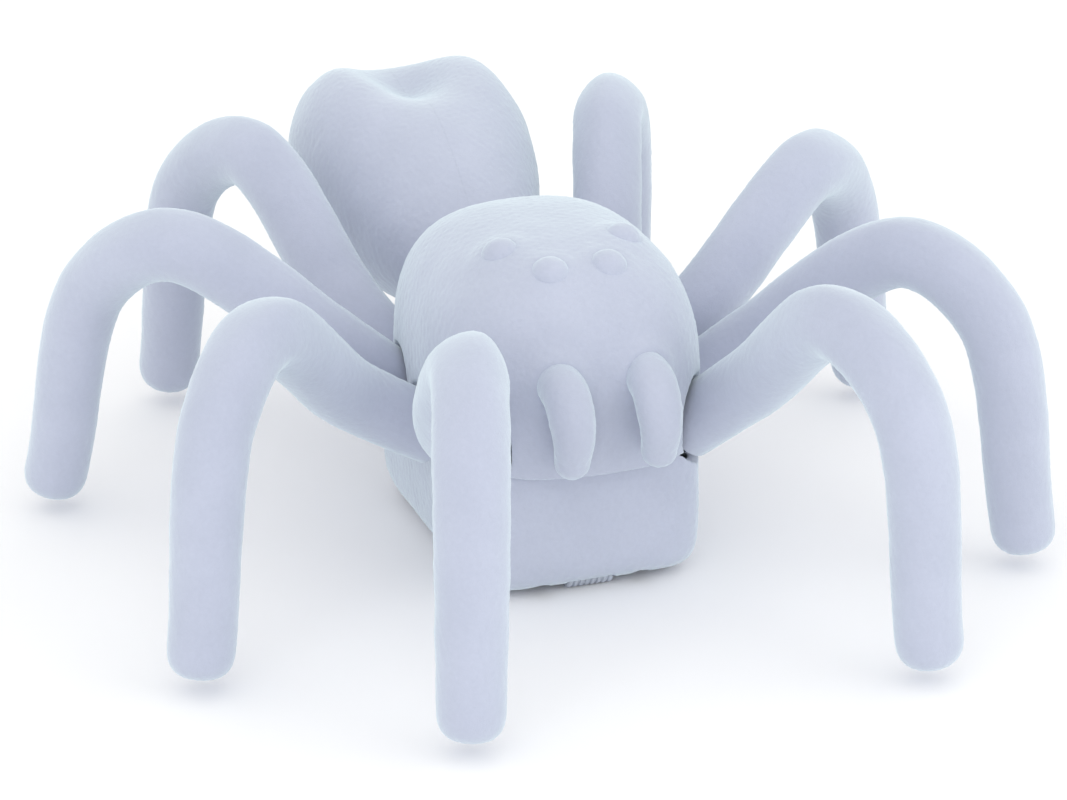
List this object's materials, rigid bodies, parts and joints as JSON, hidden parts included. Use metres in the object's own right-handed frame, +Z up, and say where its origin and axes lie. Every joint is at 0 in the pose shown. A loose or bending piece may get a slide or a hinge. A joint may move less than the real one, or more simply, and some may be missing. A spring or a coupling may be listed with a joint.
{
  "type": "walking spider robot",
  "caption": "Walking spider robot: domed carapace on a rounded battery base, raised abdomen and bent legs rowed by geared walking bars, standing on hidden wheels.",
  "frame": {"origin": "on the floor under the middle of the whole robot's outline, between the legs' tips and the abdomen's end", "axes": "+Z up, the spider faces -Y, and its left side is +X"},
  "size_m": [0.2202, 0.2444, 0.0846],
  "materials": {
    "flocked_shell": "pale lavender flock over moulded plastic",
    "flocked_leg": "pale lavender flock over moulded plastic",
    "grey_plastic": "matt moulded plastic",
    "nylon": "natural moulded nylon",
    "steel": "bright zinc-plated steel",
    "tyre_rubber": "matt rubber",
    "circuit_board": "green solder mask",
    "cell_can": "satin printed sleeve",
    "black_plastic": "matt moulded plastic"
  },
  "bodies": {
    "chassis": {"aaa_cell_left": "cell_can", "aaa_cell_right": "cell_can", "abdomen_left": "flocked_shell", "abdomen_right": "flocked_shell", "battery_cover": "grey_plastic", "battery_cover_screw": "steel", "battery_holder": "grey_plastic", "bearing_plate_left": "grey_plastic", "bearing_plate_right": "grey_plastic", "case_screw_front_left": "steel", "case_screw_front_right": "steel", "case_screw_rear_left": "steel", "case_screw_rear_right": "steel", "chelicera_left": "flocked_shell", "chelicera_right": "flocked_shell", "circuit_board": "circuit_board", "contact_strip_front": "steel", "contact_strip_rear": "steel", "eye_inner_left": "flocked_shell", "eye_inner_right": "flocked_shell", "eye_outer_left": "flocked_shell", "eye_outer_right": "flocked_shell", "gear_motor": "steel", "infrared_receiver": "black_plastic", "lower_housing": "flocked_shell", "pivot_plate": "nylon", "switch_body": "black_plastic", "upper_shell": "flocked_shell", "waist_tube": "grey_plastic"},
    "leg_front_left": {"leg_front_left": "flocked_leg", "leg_lever_front_left": "nylon"},
    "leg_second_left": {"leg_second_left": "flocked_leg", "leg_lever_second_left": "nylon"},
    "leg_third_left": {"leg_third_left": "flocked_leg", "leg_lever_third_left": "nylon"},
    "leg_rear_left": {"leg_rear_left": "flocked_leg", "leg_lever_rear_left": "nylon"},
    "leg_front_right": {"leg_front_right": "flocked_leg", "leg_lever_front_right": "nylon"},
    "leg_second_right": {"leg_second_right": "flocked_leg", "leg_lever_second_right": "nylon"},
    "leg_third_right": {"leg_third_right": "flocked_leg", "leg_lever_third_right": "nylon"},
    "leg_rear_right": {"leg_rear_right": "flocked_leg", "leg_lever_rear_right": "nylon"},
    "walking_bar_a": {"walking_bar_a": "nylon"},
    "walking_bar_b": {"walking_bar_b": "nylon"},
    "motor_rotor": {"motor_shaft": "steel", "motor_gear": "nylon"},
    "crank": {"crankshaft": "steel", "crank_gear": "nylon"},
    "idler": {"idler_gear": "nylon"},
    "axle": {"drive_axle": "steel", "axle_gear": "nylon", "drive_wheel_left": "nylon", "drive_wheel_right": "nylon", "tyre_left": "tyre_rubber", "tyre_right": "tyre_rubber"},
    "front_roller": {"front_roller": "grey_plastic"},
    "switch_knob": {"switch_slider": "black_plastic"}
  },
  "joints": [
    {"name": "leg_front_left_swing", "type": "hinge", "parent": "chassis", "child": "leg_front_left", "pos_m": [0.02, -0.0338, 0.0355], "axis": [0, 0, 1], "range_deg": [-5.73, 5.73]},
    {"name": "leg_second_left_swing", "type": "hinge", "parent": "chassis", "child": "leg_second_left", "pos_m": [0.022, -0.0183, 0.0355], "axis": [0, 0, 1], "range_deg": [-4.58, 4.58]},
    {"name": "leg_third_left_swing", "type": "hinge", "parent": "chassis", "child": "leg_third_left", "pos_m": [0.022, 0.0007, 0.0355], "axis": [0, 0, 1], "range_deg": [-4.58, 4.58]},
    {"name": "leg_rear_left_swing", "type": "hinge", "parent": "chassis", "child": "leg_rear_left", "pos_m": [0.019, 0.014, 0.0355], "axis": [0, 0, 1], "range_deg": [-6.55, 6.55]},
    {"name": "leg_front_right_swing", "type": "hinge", "parent": "chassis", "child": "leg_front_right", "pos_m": [-0.02, -0.0338, 0.0355], "axis": [0, 0, 1], "range_deg": [-5.73, 5.73]},
    {"name": "leg_second_right_swing", "type": "hinge", "parent": "chassis", "child": "leg_second_right", "pos_m": [-0.022, -0.0183, 0.0355], "axis": [0, 0, 1], "range_deg": [-4.58, 4.58]},
    {"name": "leg_third_right_swing", "type": "hinge", "parent": "chassis", "child": "leg_third_right", "pos_m": [-0.022, 0.0007, 0.0355], "axis": [0, 0, 1], "range_deg": [-4.58, 4.58]},
    {"name": "leg_rear_right_swing", "type": "hinge", "parent": "chassis", "child": "leg_rear_right", "pos_m": [-0.019, 0.014, 0.0355], "axis": [0, 0, 1], "range_deg": [-6.55, 6.55]},
    {"name": "walking_bar_a_slide", "type": "slide", "parent": "chassis", "child": "walking_bar_a", "axis": [0, 1, 0], "range_m": [-0.0008, 0.0008]},
    {"name": "walking_bar_b_slide", "type": "slide", "parent": "chassis", "child": "walking_bar_b", "axis": [0, 1, 0], "range_m": [-0.0008, 0.0008]},
    {"name": "motor_spin", "type": "hinge", "parent": "chassis", "child": "motor_rotor", "pos_m": [0, -0.0148, 0.0215], "axis": [1, 0, 0], "continuous": true},
    {"name": "crank_spin", "type": "hinge", "parent": "chassis", "child": "crank", "pos_m": [0, -0.00105, 0.0215], "axis": [1, 0, 0], "continuous": true},
    {"name": "idler_spin", "type": "hinge", "parent": "chassis", "child": "idler", "pos_m": [0, 0.01278, 0.01697], "axis": [1, 0, 0], "continuous": true},
    {"name": "axle_spin", "type": "hinge", "parent": "chassis", "child": "axle", "pos_m": [0, 0.0182, 0.007], "axis": [1, 0, 0], "continuous": true},
    {"name": "roller_spin", "type": "hinge", "parent": "chassis", "child": "front_roller", "pos_m": [0, -0.0398, 0.0032], "axis": [1, 0, 0], "continuous": true},
    {"name": "switch_slide", "type": "slide", "parent": "chassis", "child": "switch_knob", "axis": [1, 0, 0], "range_m": [0, 0.003]}
  ],
  "couplings": [
    {"joint": "leg_front_left_swing", "follows": "leg_rear_left_swing", "ratio": -0.875},
    {"joint": "leg_second_left_swing", "follows": "leg_rear_left_swing", "ratio": 0.7},
    {"joint": "leg_third_left_swing", "follows": "leg_rear_left_swing", "ratio": -0.7},
    {"joint": "leg_front_right_swing", "follows": "leg_rear_left_swing", "ratio": -0.875},
    {"joint": "leg_second_right_swing", "follows": "leg_rear_left_swing", "ratio": 0.7},
    {"joint": "leg_third_right_swing", "follows": "leg_rear_left_swing", "ratio": -0.7},
    {"joint": "leg_rear_right_swing", "follows": "leg_rear_left_swing", "ratio": 1},
    {"joint": "walking_bar_a_slide", "follows": "leg_rear_left_swing", "m_per_rad": 0.007},
    {"joint": "walking_bar_b_slide", "follows": "leg_rear_left_swing", "m_per_rad": -0.007},
    {"joint": "motor_spin", "follows": "axle_spin", "ratio": -0.85714},
    {"joint": "crank_spin", "follows": "axle_spin", "ratio": 0.6},
    {"joint": "idler_spin", "follows": "axle_spin", "ratio": -0.75}
  ]
}
